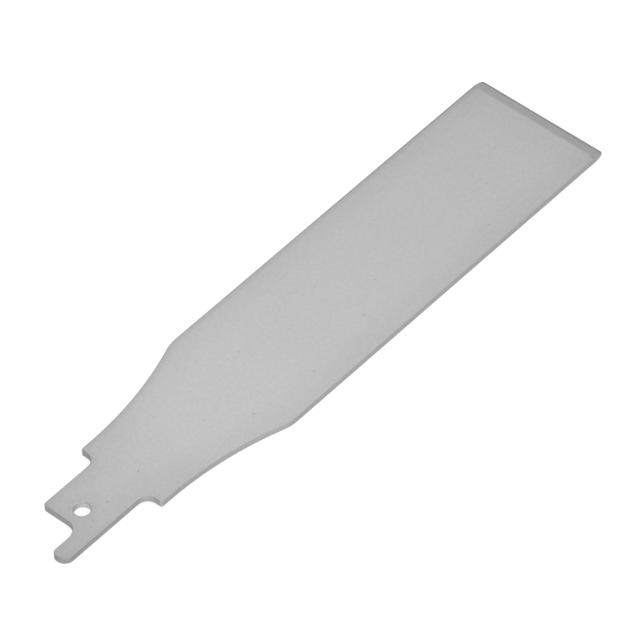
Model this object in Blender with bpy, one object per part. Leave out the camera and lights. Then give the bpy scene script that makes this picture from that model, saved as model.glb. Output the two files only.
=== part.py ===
# Reciprocating saw scraper blade: one piece of flat steel. A standard tang, with
# a pin hole and a tail beside a notch, widens through a neck and a flare to a
# parallel body, whose straight end is ground to a cutting edge from both faces.
#
# Metres, Z up. X runs along the blade from the tail to the cutting edge, Y runs
# across it, and the blade lies on its lower face at z = 0.

import math

import bmesh
import bpy

# Sheet and body
OVERALL_LENGTH = 0.1423
BODY_WIDTH = 0.0306
THICKNESS = 0.0016
RIM_RADIUS = 0.00015  # the tumbled rims of both faces

# Neck and flare
NECK_WIDTH = 0.0203
NECK_LENGTH = 0.0022  # straight, from the shoulders to the flare
FLARE_RADIUS = 0.078  # the hollow curve of each side
FLARE_END_RADIUS = 0.009  # the soft corner between flare and body

# Tang: shank, pin hole, and the tail that reaches past the shank's end
SHANK_WIDTH = 0.0127
SHANK_LENGTH = 0.0143
SHANK_CORNER_RADIUS = 0.0007
SHOULDER_CORNER_RADIUS = 0.0005
SHOULDER_FILLET_RADIUS = 0.0023
PIN_HOLE_DIAMETER = 0.0033
PIN_HOLE_SETBACK = 0.0038  # from the shank's end to the hole's centre
TAIL_WIDTH = 0.0036
TAIL_LENGTH = 0.0075
TAIL_OUTER_RADIUS = 0.002
TAIL_INNER_RADIUS = 0.0012
NOTCH_RADIUS = 0.0029

# Cutting edge
BEVEL_LENGTH = 0.00265
EDGE_LAND = 0.00015  # thickness left along the edge
EDGE_CORNER_RADIUS = 0.0007

# Modelling
CHORD_ERROR = 0.000004  # how far a facet may stray from a true arc
RIM_STEPS = 2  # facets across a quarter round of the rim
SMOOTH_ANGLE = math.radians(30)  # wider turns between faces stay sharp
WELD_DISTANCE = 0.000001
CUTTER_HEIGHT = 0.01
CUTTER_MARGIN = 0.002  # how far a cutter reaches past what it cuts

STEEL_COLOR = (0.50, 0.50, 0.50, 1.0)
STEEL_ROUGHNESS = 0.5
STEEL_METALLIC = 0.85


def arc(center_x, center_y, radius, start, end):
    """Points along an arc, ends included, as (x, y)."""
    facet_angle = 2 * math.acos(max(0.0, 1 - CHORD_ERROR / radius))
    steps = max(2, math.ceil(abs(end - start) / facet_angle))
    angles = [start + (end - start) * step / steps for step in range(steps + 1)]
    return [(center_x + radius * math.cos(a), center_y + radius * math.sin(a)) for a in angles]


def tangent_length(corner, before, after, radius):
    """How far from a corner its arc begins, and half the angle between its sides."""
    first = math.atan2(before[1] - corner[1], before[0] - corner[0])
    second = math.atan2(after[1] - corner[1], after[0] - corner[0])
    half_angle = abs(math.remainder(second - first, math.tau)) / 2
    return radius / math.tan(half_angle), half_angle


def rounded(corners):
    """A closed outline through corners given as (x, y, radius), with each one rounded.

    A radius shrinks only where two arcs would need more than the wall between them.
    """
    count = len(corners)
    tangents = []
    for index, corner in enumerate(corners):
        after = corners[(index + 1) % count]
        tangents.append(tangent_length(corner, corners[index - 1], after, corner[2]))

    points = []
    for index, (x, y, radius) in enumerate(corners):
        if radius == 0:
            points.append((x, y))
            continue
        length, half_angle = tangents[index]
        directions = []
        room = length
        for neighbour in (index - 1, (index + 1) % count):
            span_x = corners[neighbour][0] - x
            span_y = corners[neighbour][1] - y
            wall = math.hypot(span_x, span_y)
            directions.append((span_x / wall, span_y / wall))
            room = min(room, wall * length / (length + tangents[neighbour][0]))
        fitted = room * math.tan(half_angle)
        middle_x = directions[0][0] + directions[1][0]
        middle_y = directions[0][1] + directions[1][1]
        reach = fitted / math.sin(half_angle) / math.hypot(middle_x, middle_y)
        center_x = x + middle_x * reach
        center_y = y + middle_y * reach
        ends = [
            math.atan2(y + way_y * room - center_y, x + way_x * room - center_x)
            for way_x, way_y in directions
        ]
        sweep = math.remainder(ends[1] - ends[0], math.tau)
        points += arc(center_x, center_y, fitted, ends[0], ends[0] + sweep)
    return points


def flare_side(start_x):
    """The positive side of the flare: a hollow arc off the neck, then a soft corner."""
    rise = (BODY_WIDTH - NECK_WIDTH) / 2
    way = math.copysign(1, rise)
    reach = FLARE_RADIUS + FLARE_END_RADIUS
    turn = math.acos(1 - abs(rise) / reach)
    quarter = math.pi / 2
    hollow = arc(
        start_x,
        NECK_WIDTH / 2 + way * FLARE_RADIUS,
        FLARE_RADIUS,
        -way * quarter,
        way * (turn - quarter),
    )
    corner = arc(
        start_x + reach * math.sin(turn),
        BODY_WIDTH / 2 - way * FLARE_END_RADIUS,
        FLARE_END_RADIUS,
        way * (quarter + turn),
        way * quarter,
    )
    return [(x, y, 0) for x, y in hollow + corner[1:]]


def blade_outline():
    """The blade seen from above, counterclockwise, with x = 0 at the tip of the tail."""
    shank_end = TAIL_LENGTH
    shoulder = shank_end + SHANK_LENGTH
    half_shank = SHANK_WIDTH / 2
    tail_side = TAIL_WIDTH - half_shank
    flare = flare_side(shoulder + NECK_LENGTH)
    return rounded(
        [
            (0, -half_shank, TAIL_OUTER_RADIUS),
            (shoulder, -half_shank, SHOULDER_FILLET_RADIUS),
            (shoulder, -NECK_WIDTH / 2, SHOULDER_CORNER_RADIUS),
        ]
        + [(x, -y, radius) for x, y, radius in flare]
        + [
            (OVERALL_LENGTH, -BODY_WIDTH / 2, EDGE_CORNER_RADIUS),
            (OVERALL_LENGTH, BODY_WIDTH / 2, EDGE_CORNER_RADIUS),
        ]
        + flare[::-1]
        + [
            (shoulder, NECK_WIDTH / 2, SHOULDER_CORNER_RADIUS),
            (shoulder, half_shank, SHOULDER_FILLET_RADIUS),
            (shank_end, half_shank, SHANK_CORNER_RADIUS),
            (shank_end, tail_side, NOTCH_RADIUS),
            (0, tail_side, TAIL_INNER_RADIUS),
        ]
    )


def pin_hole_outline():
    """The hole for the saw's locking pin, clockwise as a hole in the outline."""
    circle = arc(TAIL_LENGTH + PIN_HOLE_SETBACK, 0, PIN_HOLE_DIAMETER / 2, math.tau, 0)
    return circle[:-1]


def new_collection(name):
    collection = bpy.data.collections.new(name)
    bpy.context.scene.collection.children.link(collection)
    return collection


def steel_material():
    material = bpy.data.materials.new("blasted_steel")
    material.use_nodes = True
    shader = material.node_tree.nodes["Principled BSDF"]
    shader.inputs["Base Color"].default_value = STEEL_COLOR
    shader.inputs["Roughness"].default_value = STEEL_ROUGHNESS
    shader.inputs["Metallic"].default_value = STEEL_METALLIC
    return material


def add_spline(curve, points):
    spline = curve.splines.new("POLY")
    spline.points.add(len(points) - 1)
    for point, (x, y) in zip(spline.points, points):
        point.co = (x, y, 0, 1)
    spline.use_cyclic_u = True


def stamped_blank(collection):
    """The blank as it leaves the press: outline, hole and rounded rims."""
    curve = bpy.data.curves.new("blank_outline", "CURVE")
    curve.dimensions = "2D"
    curve.fill_mode = "BOTH"
    curve.extrude = THICKNESS / 2 - RIM_RADIUS
    curve.bevel_depth = RIM_RADIUS
    curve.bevel_resolution = RIM_STEPS - 1
    curve.offset = -RIM_RADIUS
    add_spline(curve, blade_outline())
    add_spline(curve, pin_hole_outline())
    flat = bpy.data.objects.new("blank_curve", curve)
    flat.location = (-OVERALL_LENGTH / 2, 0, THICKNESS / 2)
    collection.objects.link(flat)
    bpy.context.view_layer.update()

    evaluated = flat.evaluated_get(bpy.context.evaluated_depsgraph_get())
    mesh = bpy.data.meshes.new_from_object(evaluated)
    blank = bpy.data.objects.new("scraper_blade", mesh)
    blank.matrix_world = flat.matrix_world
    collection.objects.link(blank)
    bpy.data.objects.remove(flat)
    bpy.data.curves.remove(curve)

    shell = bmesh.new()
    shell.from_mesh(mesh)
    bmesh.ops.remove_doubles(shell, verts=shell.verts, dist=WELD_DISTANCE)
    bmesh.ops.recalc_face_normals(shell, faces=shell.faces)
    shell.to_mesh(mesh)
    shell.free()
    mesh.shade_smooth()
    mesh.set_sharp_from_angle(angle=SMOOTH_ANGLE)
    mesh.materials.clear()
    mesh.materials.append(steel_material())
    return blank


def grinding_cutter(name, side, collection):
    """A block whose underside is the ground flat; side is 1 above the edge and -1 below."""
    grind_depth = (THICKNESS - EDGE_LAND) / 2
    grind_angle = math.atan2(grind_depth, BEVEL_LENGTH)
    length = math.hypot(grind_depth, BEVEL_LENGTH) + 2 * CUTTER_MARGIN
    width = BODY_WIDTH + 2 * CUTTER_MARGIN
    mesh = bpy.data.meshes.new(name)
    block = bmesh.new()
    bmesh.ops.create_cube(block, size=1)
    bmesh.ops.scale(block, vec=(length, width, CUTTER_HEIGHT), verts=block.verts)
    bmesh.ops.translate(block, vec=(0, 0, CUTTER_HEIGHT / 2), verts=block.verts)
    block.to_mesh(mesh)
    block.free()
    cutter = bpy.data.objects.new(name, mesh)
    flat_x = (OVERALL_LENGTH - BEVEL_LENGTH) / 2
    flat_z = THICKNESS / 2 + side * (THICKNESS - grind_depth) / 2
    cutter.location = (flat_x, 0, flat_z)
    cutter.rotation_euler = (0 if side > 0 else math.pi, side * grind_angle, 0)
    cutter.hide_render = True
    cutter.display_type = "WIRE"
    collection.objects.link(cutter)
    return cutter


def grind_edge(blade, collection):
    """Grinds both faces of the blank's wide end down to the thin land."""
    for name, side in (("upper_grind", 1), ("lower_grind", -1)):
        cut = blade.modifiers.new(name, "BOOLEAN")
        cut.operation = "DIFFERENCE"
        cut.solver = "EXACT"
        cut.object = grinding_cutter(name, side, collection)


def main():
    for old in list(bpy.data.objects):
        bpy.data.objects.remove(old)
    blade = stamped_blank(new_collection("reciprocating_saw_scraper_blade"))
    grind_edge(blade, new_collection("cutters"))


main()
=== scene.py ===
import math

import bmesh
import bpy
from mathutils import Matrix, Vector
from mathutils.bvhtree import BVHTree


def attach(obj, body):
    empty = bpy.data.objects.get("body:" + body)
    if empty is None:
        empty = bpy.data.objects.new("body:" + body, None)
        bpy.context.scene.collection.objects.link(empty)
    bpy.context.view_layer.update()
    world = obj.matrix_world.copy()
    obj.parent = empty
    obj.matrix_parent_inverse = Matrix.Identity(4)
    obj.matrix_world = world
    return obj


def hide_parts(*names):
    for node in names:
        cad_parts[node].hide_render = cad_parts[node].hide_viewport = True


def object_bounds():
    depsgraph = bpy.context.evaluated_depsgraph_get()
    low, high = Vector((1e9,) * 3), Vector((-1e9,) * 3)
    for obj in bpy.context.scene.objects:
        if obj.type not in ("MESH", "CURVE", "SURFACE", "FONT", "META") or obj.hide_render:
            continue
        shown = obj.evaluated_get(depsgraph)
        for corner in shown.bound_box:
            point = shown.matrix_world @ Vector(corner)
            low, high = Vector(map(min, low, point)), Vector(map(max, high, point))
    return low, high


# Looks for a reciprocating saw scraper blade: one flat piece of blasted steel on a white table.

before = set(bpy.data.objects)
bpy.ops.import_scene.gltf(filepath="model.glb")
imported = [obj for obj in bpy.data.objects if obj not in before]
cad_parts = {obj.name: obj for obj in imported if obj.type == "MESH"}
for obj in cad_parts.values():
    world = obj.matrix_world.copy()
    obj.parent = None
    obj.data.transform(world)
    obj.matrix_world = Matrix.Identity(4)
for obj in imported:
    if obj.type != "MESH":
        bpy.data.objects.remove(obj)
cadLow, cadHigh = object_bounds()
mm = 0.001
hair = 0.001 * mm  # points nearer than this are one point


def selectOnly(piece):
    if bpy.context.mode != "OBJECT":
        bpy.ops.object.mode_set(mode="OBJECT")
    bpy.ops.object.select_all(action="DESELECT")
    piece.select_set(True)
    bpy.context.view_layer.objects.active = piece


def pick(piece, kind, test):
    # selects, in edit mode, the faces or the edges for which the test holds
    mesh = bmesh.from_edit_mesh(piece.data)
    parts = mesh.faces if kind == "FACE" else mesh.edges
    picked = [part for part in parts if test(part)]
    bpy.ops.mesh.select_mode(type=kind)
    bpy.ops.mesh.select_all(action="DESELECT")
    for part in picked:
        part.select_set(True)
    bmesh.update_edit_mesh(piece.data)


# The blade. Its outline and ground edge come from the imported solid, and what is added here is the softness
# of blasted steel: finer rims, and faces that roll down a little towards them.
blade = {
    "name": "blasted_scraper_blade",
    "node": "scraper_blade",
    "rim": 0.12 * mm,  # how far down the cut walls a rim starts
    "rimReach": 0.15 * mm,  # how far it reaches over the face
    "rimSteps": 5,
    "rollDrop": 0.04 * mm,  # how far a face falls at its rim
    "rollWidth": 1.4 * mm,
    "grid": 0.7 * mm,  # spacing of the cuts that let a face roll
    "grindRound": 0.25 * mm,  # softness of the lines where the grinding starts
    "grindSteps": 2,
    "holeX": -59.85 * mm,  # the pin hole's centre, on y = 0
    "holeRadius": 1.65 * mm,
    "flat": 0.999,  # a face lies flat if its normal points up or down by more than this
    "sheer": 0.1,  # and it is a wall if it does so by less than this
    "sameLine": math.radians(0.2),  # stretches of the outline that turn by less are one
    "samePlace": 0.01 * mm,  # places nearer than this are the same along the blade
    "weld": 0.003 * mm,  # slivers narrower than this are closed
    "smoothAngle": math.radians(32),
}


def readGrind(node):
    # where the solid's ground flats start, and their slope down to the land between them
    top = [v.co for v in node.data.vertices if v.co.z > cadHigh.z - hair]
    land = [v.co for v in node.data.vertices if v.co.x > cadHigh.x - hair]
    start = max(point.x for point in top)
    fall = cadHigh.z - max(point.z for point in land)
    return start, math.atan2(fall, cadHigh.x - start)


def middleOutline(name, node):
    # the solid's outline at half its height, as one flat sheet on z = 0
    piece = bpy.data.objects.new(name, node.data.copy())
    bpy.context.scene.collection.objects.link(piece)
    selectOnly(piece)
    bpy.ops.mesh.customdata_custom_splitnormals_clear()
    bpy.ops.object.mode_set(mode="EDIT")
    bpy.ops.mesh.select_all(action="SELECT")
    bpy.ops.mesh.remove_doubles(threshold=hair)
    middle = (cadLow.z + cadHigh.z) / 2
    bpy.ops.mesh.bisect(
        plane_co=(0, 0, middle), plane_no=(0, 0, 1), clear_inner=True, clear_outer=True, threshold=hair
    )
    bpy.ops.mesh.select_all(action="SELECT")
    bpy.ops.mesh.dissolve_limited(angle_limit=blade["sameLine"])
    bpy.ops.mesh.select_all(action="SELECT")
    bpy.ops.mesh.fill(use_beauty=True)
    bpy.ops.mesh.select_all(action="SELECT")
    bpy.ops.transform.translate(value=(0, 0, -middle))
    bpy.ops.object.mode_set(mode="OBJECT")
    return piece


def isTop(face):
    return face.normal.z > blade["flat"]


def isBottom(face):
    return face.normal.z < -blade["flat"]


def raiseWalls(piece):
    # walls first, then each face creeps in and out along a quarter of an ellipse
    rim, reach, steps = blade["rim"], blade["rimReach"], blade["rimSteps"]
    roll = blade["rollDrop"]
    straight = cadHigh.z - cadLow.z - 2 * (rim + roll)
    selectOnly(piece)
    bpy.ops.object.mode_set(mode="EDIT")
    bpy.ops.mesh.select_all(action="SELECT")
    bpy.ops.mesh.extrude_region_move(TRANSFORM_OT_translate={"value": (0, 0, straight)})
    bpy.ops.mesh.select_all(action="SELECT")
    bpy.ops.mesh.normals_make_consistent(inside=False)
    for side in (isTop, isBottom):
        pick(piece, "FACE", side)
        for step in range(steps):
            before = math.pi / 2 * step / steps
            after = math.pi / 2 * (step + 1) / steps
            inward = reach * (math.cos(before) - math.cos(after))
            outward = rim * (math.sin(after) - math.sin(before))
            bpy.ops.mesh.inset(thickness=inward, depth=outward, use_even_offset=True, use_boundary=True)
    bpy.ops.mesh.select_all(action="SELECT")
    bpy.ops.transform.translate(value=(0, 0, cadLow.z + rim + roll))
    bpy.ops.object.mode_set(mode="OBJECT")


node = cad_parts[blade["node"]]
grindStart, grindSlope = readGrind(node)
blank = middleOutline(blade["name"], node)
raiseWalls(blank)
print("stage: blade outline and rims", len(blank.data.polygons), "faces")


def closeSlivers():
    # in edit mode: two cuts that all but meet leave points that belong together
    bpy.ops.mesh.select_all(action="SELECT")
    bpy.ops.mesh.remove_doubles(threshold=blade["weld"])


def gridCuts(piece):
    # crossed cuts through the blank, so that its faces can bend; the sheet's own diagonals then go
    selectOnly(piece)
    bpy.ops.object.mode_set(mode="EDIT")
    for axis in (0, 1):
        direction = Vector((1 - axis, axis, 0))
        size = cadHigh[axis] - cadLow[axis]
        count = int(size / blade["grid"])
        for cut in range(1, count):
            place = direction * (cadLow[axis] + cut * size / count)
            if abs(place.x - grindStart) < 2 * blade["grindRound"]:
                continue  # the soft line of the grinding needs the room
            bpy.ops.mesh.select_all(action="SELECT")
            bpy.ops.mesh.bisect(plane_co=place, plane_no=direction, threshold=hair)

    def isDiagonal(edge):
        if len(edge.link_faces) < 2 or any(abs(face.normal.z) < blade["flat"] for face in edge.link_faces):
            return False
        run = edge.verts[1].co - edge.verts[0].co
        return abs(run.x) > hair and abs(run.y) > hair

    pick(piece, "EDGE", isDiagonal)
    bpy.ops.mesh.dissolve_edges(use_verts=True)
    closeSlivers()
    bpy.ops.object.mode_set(mode="OBJECT")


gridCuts(blank)
print("stage: grid", len(blank.data.polygons), "faces")


def rollFaces(piece):
    # the faces fall towards the cut walls, but not towards the cutting edge; each point also learns how far
    # it is from a wall and whether it is in the hole, which the steel needs
    mesh = bmesh.new()
    mesh.from_mesh(piece.data)
    cutEnd = cadHigh.x - blade["samePlace"]
    walls = [
        face for face in mesh.faces
        if abs(face.normal.z) < blade["sheer"] and face.calc_center_median().x < cutEnd
    ]
    corners = [vertex.co.copy() for face in walls for vertex in face.verts]
    sides, count = [], 0
    for face in walls:
        sides.append(list(range(count, count + len(face.verts))))
        count += len(face.verts)
    wallTree = BVHTree.FromPolygons(corners, sides)
    middle = (cadLow.z + cadHigh.z) / 2
    half = middle - cadLow.z - blade["rollDrop"]
    fromWall = mesh.verts.layers.float.new("fromWall")
    inHole = mesh.verts.layers.float.new("inHole")
    for vertex in mesh.verts:
        height = vertex.co.z - middle
        vertex[fromWall] = wallTree.find_nearest(Vector((vertex.co.x, vertex.co.y, middle)))[3]
        reach = math.hypot(vertex.co.x - blade["holeX"], vertex.co.y)
        vertex[inHole] = 1.0 if reach < blade["holeRadius"] + blade["rimReach"] / 2 else 0.0
        if abs(abs(height) - half) > hair:
            continue  # only the points of the two faces move
        inside = vertex[fromWall] - blade["rimReach"]
        share = min(1, max(0, inside / blade["rollWidth"]))
        vertex.co.z += math.copysign(blade["rollDrop"] * (1 - (1 - share) ** 2), height)
    mesh.to_mesh(piece.data)
    mesh.free()


def grindEdge(piece):
    # the same two flats as on the solid, with soft lines where they start
    selectOnly(piece)
    bpy.ops.object.mode_set(mode="EDIT")
    for side, level in ((1, cadHigh.z), (-1, cadLow.z)):
        bpy.ops.mesh.select_all(action="SELECT")
        bpy.ops.mesh.bisect(
            plane_co=(grindStart, 0, level),
            plane_no=(math.sin(grindSlope), 0, side * math.cos(grindSlope)),
            use_fill=True,
            clear_outer=True,
            threshold=hair,
        )

    def isGrindLine(edge):
        return (
            len(edge.link_faces) == 2
            and all(abs(vertex.co.x - grindStart) < blade["samePlace"] for vertex in edge.verts)
            and edge.calc_face_angle() > grindSlope / 2
        )

    pick(piece, "EDGE", isGrindLine)
    bpy.ops.mesh.bevel(offset=blade["grindRound"], segments=blade["grindSteps"], affect="EDGES")
    closeSlivers()
    bpy.ops.object.mode_set(mode="OBJECT")


def finishShading(piece):
    selectOnly(piece)
    bpy.ops.object.shade_smooth_by_angle(angle=blade["smoothAngle"])
    flatten = piece.modifiers.new("even_normals", "WEIGHTED_NORMAL")
    flatten.mode = "FACE_AREA"
    flatten.keep_sharp = True
    bpy.ops.object.modifier_apply(modifier=flatten.name)


rollFaces(blank)
grindEdge(blank)
finishShading(blank)
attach(blank, "root")
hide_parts(blade["node"])
print("stage: blade shaped", len(blank.data.polygons), "faces")


def hexColor(code):
    # sRGB hex to linear light
    parts = [int(code[i:i + 2], 16) / 255 for i in (1, 3, 5)]
    return tuple(c / 12.92 if c <= 0.04045 else ((c + 0.055) / 1.055) ** 2.4 for c in parts) + (1,)


def addNode(tree, kind, settings=None, inputs=None):
    # settings are the node's own properties; an input is a value, a socket, or a node, of which it takes the
    # first output
    made = tree.nodes.new(kind)
    for name, value in (settings or {}).items():
        setattr(made, name, value)
    for name, value in (inputs or {}).items():
        if isinstance(value, bpy.types.Node):
            value = value.outputs[0]
        if isinstance(value, bpy.types.NodeSocket):
            tree.links.new(value, made.inputs[name])
        else:
            made.inputs[name].default_value = value
    return made


mathNode, vectorNode, rangeNode = "ShaderNodeMath", "ShaderNodeVectorMath", "ShaderNodeMapRange"
times = {"operation": "MULTIPLY"}
timesPlus = {"operation": "MULTIPLY_ADD"}
smooth = {"interpolation_type": "SMOOTHSTEP"}

# Stainless steel strip, cut, ground at the edge and then blasted all over with glass beads. That gives a
# matt, even light grey with a fine satin grain, faint clouds where the nozzle moved on, and a few tiny pits.
# Most tones are painted light and shade, and a tone multiplies the colour. Where two values stand together,
# it changes from the first to the second.
steel = {
    "color": "#B1B1B1",
    "metallic": 1.0,
    "roughness": (0.442, 0.458),
    "noiseSpan": (0.3, 0.7),  # the noise patterns stay between these nearly everywhere
    "beadSize": 0.75 * mm,  # the dents of 0.1 to 0.2 mm beads, drawn coarser so that they show
    "beadDepth": 0.003 * mm,
    "beadTone": 0.028,
    "cloudSize": 2.2 * mm,
    "cloudTone": 0.003,
    # painted light and shade of the faces and of the cut walls along the blade, from the tail (0) to the
    # cutting edge (1): a broad painted highlight on the faces, and painted shade that keeps the walls darker
    "paintedFaceLight": (
        (0.0, 0.83), (0.06, 0.87), (0.10, 0.915), (0.18, 0.925), (0.28, 0.98), (0.40, 0.973),
        (0.54, 0.948), (0.91, 0.915), (0.975, 0.872), (0.984, 0.925), (1.0, 0.875),
    ),
    "paintedWallShade": (
        (0.0, 0.70), (0.06, 0.825), (0.10, 0.83), (0.16, 0.86), (0.28, 0.875), (0.45, 0.895),
        (0.60, 0.885), (0.90, 0.845), (1.0, 0.84),
    ),
    "faceNormal": (0.2, 0.6),  # how far the normal points up or down, from a wall to a face
    "wallSides": (-10 * mm, 8 * mm),  # painted shade: walls get darker across the blade, between these places
    "paintedWallSideShade": 0.84,
    "strip": 8 * mm,  # painted shade: the strip of a face beside a cut wall is darker
    "stripShadeTone": 0.94,
    "edge": 0.7 * mm,  # painted shade: the last of the cutting edge, where the steel is thinnest, is darker
    "edgeShadeTone": 0.58,
    "paintedRimShade": (0.04, 0.3),  # how much painted shade darkens the rims, across the blade
    "rimSides": (1 * mm, 12 * mm),
    "rimStrength": (0.25, 1.3),  # the painted dark line gets stronger along the blade
    "rimAlong": (0.0, 56 * mm),
    "rimLine": (0.1 * mm, 0.45 * mm),  # the line ends between these distances from the wall
    "rimBand": 1.7 * mm,  # and a weaker band beside it ends here
    "rimBandShare": 0.23,
    "rimNormal": (0.15, 0.5),  # how far the normal points up or down, from a wall to a rim
    "rimEnd": (3.0 * mm, 2.5 * mm),  # before the cutting edge, where the ground flats have no such rims
    "wallLightFrom": (-0.707, -0.707, 0.0),  # the painted light on the walls comes from the tail and one side
    "wallLightTone": (0.74, 1.25),  # painted shade on walls turned away from it, painted light on walls that face it
    "holeLightFrom": (-0.866, -0.5, 0.0),  # the painted light in the pin hole comes more from the tail
    "holeLight": 1.45,  # painted light: the wall of the hole is brighter
    "holeNormal": (0.4, 0.97),  # how far the normal points up or down, from that wall to the face round it
    "pitSpacing": 8 * mm,
    "pitShare": 0.45,  # how many of the places have a pit
    "pitShift": 5.0,  # places slide along the blade by this much of the height, so the two faces differ
    "pitRadius": 0.28 * mm,
    "pitSizes": (0.5, 1.3),  # the smallest and the largest pit, as shares of that radius
    "pitTone": 0.74,
    "pitDepth": 0.02 * mm,
}


def paintedLightAlong(tree, place, upright):
    # painted light and shade: one tone for the faces and one for the cut walls, which also changes across
    # the blade
    along = addNode(
        tree, rangeNode, inputs={"Value": place.outputs["X"], "From Min": cadLow.x, "From Max": cadHigh.x}
    )
    ramps = []
    for tones in (steel["paintedWallShade"], steel["paintedFaceLight"]):
        ramp = addNode(tree, "ShaderNodeValToRGB", inputs={"Fac": along})
        ramp.color_ramp.interpolation = "EASE"
        stops = ramp.color_ramp.elements
        while len(stops) < len(tones):
            stops.new(0.5)
        for stop, (at, tone) in zip(stops, tones):
            stop.position = at
            stop.color = (tone, tone, tone, 1)
        ramps.append(ramp)
    near, far = steel["wallSides"]
    across = addNode(
        tree,
        rangeNode,
        inputs={
            "Value": place.outputs["Y"],
            "From Min": near,
            "From Max": far,
            "To Min": 1.0,
            "To Max": steel["paintedWallSideShade"],
        },
    )
    walls = addNode(tree, mathNode, times, {0: ramps[0], 1: across})
    wall, face = steel["faceNormal"]
    return addNode(
        tree,
        rangeNode,
        inputs={"Value": upright, "From Min": wall, "From Max": face, "To Min": walls, "To Max": ramps[1]},
    )


def paintedEdgeShade(tree, place):
    # painted shade on the last of the cutting edge
    return addNode(
        tree,
        rangeNode,
        smooth,
        {
            "Value": place.outputs["X"],
            "From Min": cadHigh.x - steel["edge"],
            "From Max": cadHigh.x,
            "To Min": 1.0,
            "To Max": steel["edgeShadeTone"],
        },
    )


def paintedRimShade(tree, place, upright, fromWall, inHole):
    # painted shade near the walls but not on them: a dark line and a weaker band beside it
    wall, rim = steel["rimNormal"]
    offWall = addNode(tree, rangeNode, smooth, {"Value": upright, "From Min": wall, "From Max": rim})
    near, far = steel["rimSides"]
    nearShade, farShade = steel["paintedRimShade"]
    across = addNode(
        tree,
        rangeNode,
        inputs={
            "Value": place.outputs["Y"],
            "From Min": near,
            "From Max": far,
            "To Min": nearShade,
            "To Max": farShade,
        },
    )
    side = addNode(tree, mathNode, times, {0: offWall, 1: across})

    start, end = steel["rimLine"]
    line = addNode(
        tree,
        rangeNode,
        smooth,
        {"Value": fromWall, "From Min": start, "From Max": end, "To Min": 1.0, "To Max": 0.0},
    )
    weak, strong = steel["rimStrength"]
    strength = addNode(
        tree,
        rangeNode,
        inputs={
            "Value": place.outputs["X"],
            "From Min": steel["rimAlong"][0],
            "From Max": steel["rimAlong"][1],
            "To Min": weak,
            "To Max": strong,
        },
    )
    band = addNode(
        tree,
        rangeNode,
        smooth,
        {
            "Value": fromWall,
            "From Min": end,
            "From Max": steel["rimBand"],
            "To Min": steel["rimBandShare"],
            "To Max": 0.0,
        },
    )
    shape = addNode(tree, mathNode, timesPlus, {0: line, 1: strength, 2: band})
    shade = addNode(tree, mathNode, times, {0: side, 1: shape})

    # none of it in the hole or on the ground flats
    before, after = steel["rimEnd"]
    ground = addNode(
        tree,
        rangeNode,
        inputs={"Value": place.outputs["X"], "From Min": cadHigh.x - before, "From Max": cadHigh.x - after},
    )
    without = addNode(tree, mathNode, {"operation": "MAXIMUM"}, {0: ground, 1: inHole})
    kept = addNode(tree, mathNode, {"operation": "SUBTRACT"}, {0: 1.0, 1: without})
    shaded = addNode(tree, mathNode, times, {0: shade, 1: kept})
    return addNode(tree, mathNode, {"operation": "SUBTRACT"}, {0: 1.0, 1: shaded})


def paintedHoleLight(tree, upright, inHole):
    # painted light on the wall of the pin hole
    wall, face = steel["holeNormal"]
    onWall = addNode(
        tree,
        rangeNode,
        inputs={"Value": upright, "From Min": wall, "From Max": face, "To Min": 1.0, "To Max": 0.0},
    )
    holeLit = addNode(tree, mathNode, times, {0: inHole, 1: onWall})
    return addNode(tree, rangeNode, inputs={"Value": holeLit, "To Min": 1.0, "To Max": steel["holeLight"]})


def paintedWallLight(tree, normal, upright, inHole):
    # painted light and shade: 1 on the faces, and on a wall one of the two tones or between them, by how
    # squarely it faces the painted light
    away, towards = steel["wallLightTone"]
    squarely = []
    for direction in (steel["wallLightFrom"], steel["holeLightFrom"]):
        facing = addNode(tree, vectorNode, {"operation": "DOT_PRODUCT"}, {0: normal, 1: direction})
        turned = facing.outputs["Value"]
        squarely.append(addNode(tree, mathNode, {"operation": "MAXIMUM"}, {0: turned, 1: 0.0}))
    outside, inside = squarely
    outsideSquare = addNode(tree, mathNode, {"operation": "POWER"}, {0: outside, 1: 2.0})
    litShare = addNode(tree, rangeNode, inputs={"Value": inHole, "To Min": outsideSquare, "To Max": inside})
    uprightSquare = addNode(tree, mathNode, {"operation": "POWER"}, {0: upright, 1: 2.0})
    base = addNode(tree, rangeNode, inputs={"Value": uprightSquare, "To Min": away, "To Max": 1.0})
    return addNode(tree, mathNode, timesPlus, {0: litShare, 1: towards - away, 2: base})


def pitPattern(tree, place):
    # a few of the cells of a wide pattern have a pit
    slid = addNode(
        tree, mathNode, timesPlus, {0: place.outputs["Z"], 1: steel["pitShift"], 2: place.outputs["X"]}
    )
    flat = addNode(tree, "ShaderNodeCombineXYZ", inputs={"X": slid, "Y": place.outputs["Y"]})
    cells = addNode(
        tree,
        "ShaderNodeTexVoronoi",
        {"voronoi_dimensions": "2D"},
        {"Vector": flat, "Scale": 1 / steel["pitSpacing"], "Randomness": 1.0},
    )
    chance = addNode(tree, "ShaderNodeSeparateColor", inputs={"Color": cells.outputs["Color"]})
    chosen = addNode(
        tree, mathNode, {"operation": "LESS_THAN"}, {0: chance.outputs["Red"], 1: steel["pitShare"]}
    )
    radius = steel["pitRadius"] / steel["pitSpacing"]
    smallest, largest = steel["pitSizes"]
    width = addNode(
        tree,
        rangeNode,
        inputs={"Value": chance.outputs["Green"], "To Min": radius * smallest, "To Max": radius * largest},
    )
    dip = addNode(
        tree,
        rangeNode,
        smooth,
        {"Value": cells.outputs["Distance"], "From Max": width, "To Min": 1.0, "To Max": 0.0},
    )
    return addNode(tree, mathNode, times, {0: dip, 1: chosen})


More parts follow.
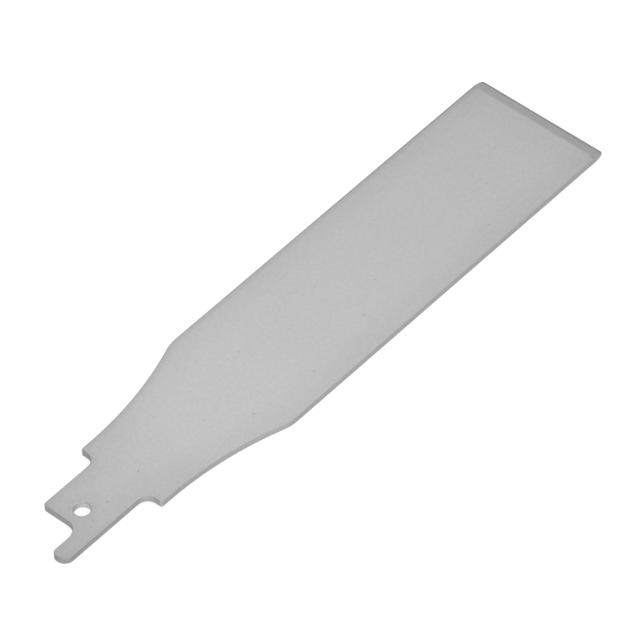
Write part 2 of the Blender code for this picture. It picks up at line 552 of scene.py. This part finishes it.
def blastedSteel(name):
    material = bpy.data.materials.new(name)
    material.use_nodes = True
    tree = material.node_tree
    shader = tree.nodes["Principled BSDF"]
    coordinates = addNode(tree, "ShaderNodeTexCoord")
    where, normal = coordinates.outputs["Object"], coordinates.outputs["Normal"]
    place = addNode(tree, "ShaderNodeSeparateXYZ", inputs={"Vector": where})
    facing = addNode(tree, "ShaderNodeSeparateXYZ", inputs={"Vector": normal})
    upright = addNode(tree, mathNode, {"operation": "ABSOLUTE"}, {0: facing.outputs["Z"]})
    fromWall = addNode(tree, "ShaderNodeAttribute", {"attribute_name": "fromWall"}).outputs["Fac"]
    inHole = addNode(tree, "ShaderNodeAttribute", {"attribute_name": "inHole"}).outputs["Fac"]

    low, high = steel["noiseSpan"]
    beads = addNode(
        tree,
        "ShaderNodeTexNoise",
        inputs={"Vector": where, "Scale": 1 / steel["beadSize"], "Detail": 1.0, "Roughness": 0.5},
    )
    clouds = addNode(
        tree,
        "ShaderNodeTexNoise",
        inputs={"Vector": where, "Scale": 1 / steel["cloudSize"], "Detail": 2.0, "Roughness": 0.5},
    )
    grain = []
    for pattern, change in ((beads, steel["beadTone"]), (clouds, steel["cloudTone"])):
        inputs = {
            "Value": pattern,
            "From Min": low,
            "From Max": high,
            "To Min": 1 - change,
            "To Max": 1 + change,
        }
        grain.append(addNode(tree, rangeNode, inputs=inputs))
    pits = pitPattern(tree, place)
    pitShade = addNode(tree, rangeNode, inputs={"Value": pits, "To Min": 1.0, "To Max": steel["pitTone"]})
    # painted shade on the faces beside the cut walls
    paintedStripShade = addNode(
        tree,
        rangeNode,
        smooth,
        {"Value": fromWall, "From Max": steel["strip"], "To Min": steel["stripShadeTone"], "To Max": 1.0},
    )

    tone = paintedLightAlong(tree, place, upright)
    for part in (
        paintedEdgeShade(tree, place),
        paintedStripShade,
        paintedRimShade(tree, place, upright, fromWall, inHole),
        paintedHoleLight(tree, upright, inHole),
        paintedWallLight(tree, normal, upright, inHole),
        *grain,
        pitShade,
    ):
        tone = addNode(tree, mathNode, times, {0: tone, 1: part})
    grey = hexColor(steel["color"])[:3]
    color = addNode(tree, vectorNode, {"operation": "SCALE"}, {0: grey, "Scale": tone})
    tree.links.new(color.outputs[0], shader.inputs["Base Color"])

    smoothest, roughest = steel["roughness"]
    rough = addNode(
        tree,
        rangeNode,
        inputs={"Value": clouds, "From Min": low, "From Max": high, "To Min": smoothest, "To Max": roughest},
    )
    tree.links.new(rough.outputs[0], shader.inputs["Roughness"])
    shader.inputs["Metallic"].default_value = steel["metallic"]

    dents = addNode(tree, "ShaderNodeBump", inputs={"Height": beads, "Distance": steel["beadDepth"]})
    dips = addNode(
        tree,
        "ShaderNodeBump",
        {"invert": True},
        {"Height": pits, "Distance": steel["pitDepth"], "Normal": dents},
    )
    tree.links.new(dips.outputs[0], shader.inputs["Normal"])
    return material


blank.data.materials.clear()
blank.data.materials.append(blastedSteel("bead_blasted_stainless_steel"))
print("stage: steel")

# White acrylic sheet, lit from below as product tables are: it glows evenly and shows next to no shadow.
table = {
    "size": 8.0,
    "drop": 0.01 * mm,  # how far the table lies under the blade
    "color": "#808080",
    "roughness": 0.8,
    "glowColor": "#FFFFFF",
    "glow": 0.83,
}
bpy.ops.object.select_all(action="DESELECT")
bpy.ops.mesh.primitive_plane_add(size=table["size"], location=(0, 0, cadLow.z - table["drop"]))
floor = bpy.context.active_object
floor.name = "white_table"
acrylic = bpy.data.materials.new("white_acrylic_table")
acrylic.use_nodes = True
surface = acrylic.node_tree.nodes["Principled BSDF"]
surface.inputs["Base Color"].default_value = hexColor(table["color"])
surface.inputs["Roughness"].default_value = table["roughness"]
surface.inputs["Specular IOR Level"].default_value = 0.0
surface.inputs["Emission Color"].default_value = hexColor(table["glowColor"])
surface.inputs["Emission Strength"].default_value = table["glow"]
floor.data.materials.append(acrylic)

# The camera stands off at the photo's angle with a long lens. Its lengths are in millimetres, and turn, down
# and roll in degrees.
camera = {
    "aimX": 4.24,  # the point it aims at, from the blade's middle
    "aimY": -1.56,
    "distance": 1173.8,
    "turn": 46.21,
    "down": 47.52,
    "roll": 3.11,
    "lens": 350.1,
    "sensor": 36,
}
view = bpy.data.objects.new("camera", bpy.data.cameras.new("camera"))
bpy.context.scene.collection.objects.link(view)
turn = (
    Matrix.Rotation(-math.radians(camera["turn"]), 4, "Z")
    @ Matrix.Rotation(math.radians(90 - camera["down"]), 4, "X")
    @ Matrix.Rotation(-math.radians(camera["roll"]), 4, "Z")
)
aim = Vector((camera["aimX"], camera["aimY"], 0)) * mm
back = turn.to_3x3() @ Vector((0, 0, 1))
view.matrix_world = Matrix.Translation(aim + back * camera["distance"] * mm) @ turn
view.data.lens = camera["lens"]
view.data.sensor_width = camera["sensor"]
bpy.context.scene.camera = view

# Soft lamps. Their turn, from +Y towards +X, and up, above the table, are in degrees; far, wide and tall are
# in metres, and power is in watts.
lights = [
    {"name": "key_softbox", "turn": 68, "up": 65, "far": 0.47, "wide": 0.6, "tall": 0.32, "power": 0.365},
    {"name": "back_softbox", "turn": 46, "up": 45, "far": 1.5, "wide": 0.9, "tall": 0.9, "power": 0.89},
    {"name": "front_panel", "turn": 181, "up": 45, "far": 1.5, "wide": 3.5, "tall": 0.9, "power": 10.9},
]
for lamp in lights:
    data = bpy.data.lights.new(lamp["name"], "AREA")
    data.shape = "RECTANGLE"
    data.size, data.size_y = lamp["wide"], lamp["tall"]
    data.energy = lamp["power"]
    holder = bpy.data.objects.new(lamp["name"], data)
    bpy.context.scene.collection.objects.link(holder)
    turned = math.radians(lamp["turn"])
    raised = math.radians(lamp["up"])
    way = Vector((math.sin(turned) * math.cos(raised), math.cos(turned) * math.cos(raised), math.sin(raised)))
    holder.location = way * lamp["far"]
    holder.rotation_euler = way.to_track_quat("Z", "Y").to_euler()

# The white room round the table.
studio = {"color": "#FFFFFF", "strength": 0.83}
world = bpy.data.worlds.new("studio")
bpy.context.scene.world = world
world.use_nodes = True
background = world.node_tree.nodes["Background"]
background.inputs["Color"].default_value = hexColor(studio["color"])
background.inputs["Strength"].default_value = studio["strength"]
bpy.context.scene.view_settings.view_transform = "Standard"
print("stage: table, camera and lights")
